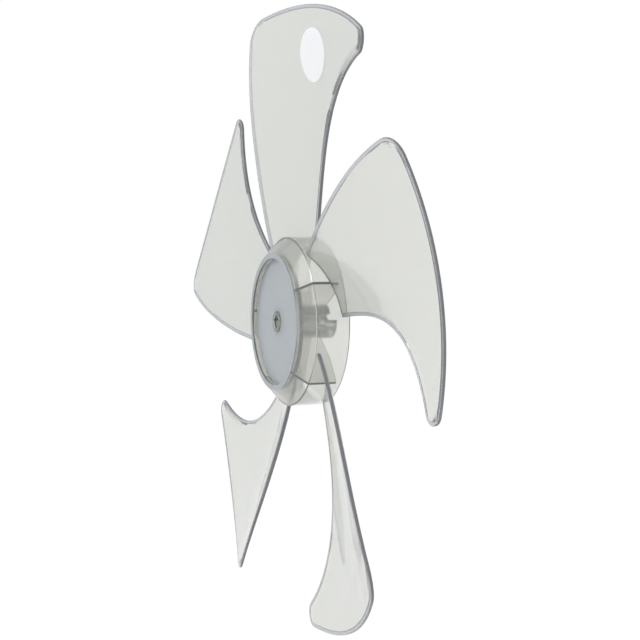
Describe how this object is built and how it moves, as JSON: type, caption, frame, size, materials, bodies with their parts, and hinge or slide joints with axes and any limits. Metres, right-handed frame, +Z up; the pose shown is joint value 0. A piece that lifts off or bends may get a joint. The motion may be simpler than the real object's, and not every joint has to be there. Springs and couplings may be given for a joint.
{
  "type": "fan impeller",
  "caption": "One-piece moulded axial fan impeller: swept, twisted blades on a hub cup that is open at the rear, with ribs, a shaft boss and a round sticker on a blade.",
  "frame": {"origin": "on the spin axis, where the round wall of the shaft bore begins at the floor of the cross pin slot", "axes": "+Y along the spin axis, towards the rear, where the motor shaft leaves the bore; the closed front of the hub faces -Y; +Z up, the sticker's blade stands upright"},
  "size_m": [0.3831, 0.036, 0.3809],
  "materials": {
    "smoke_plastic": "glossy, translucent",
    "sticker": "smooth"
  },
  "bodies": {
    "root": {"impeller": "smoke_plastic", "oval_sticker": "sticker"}
  },
  "joints": []
}
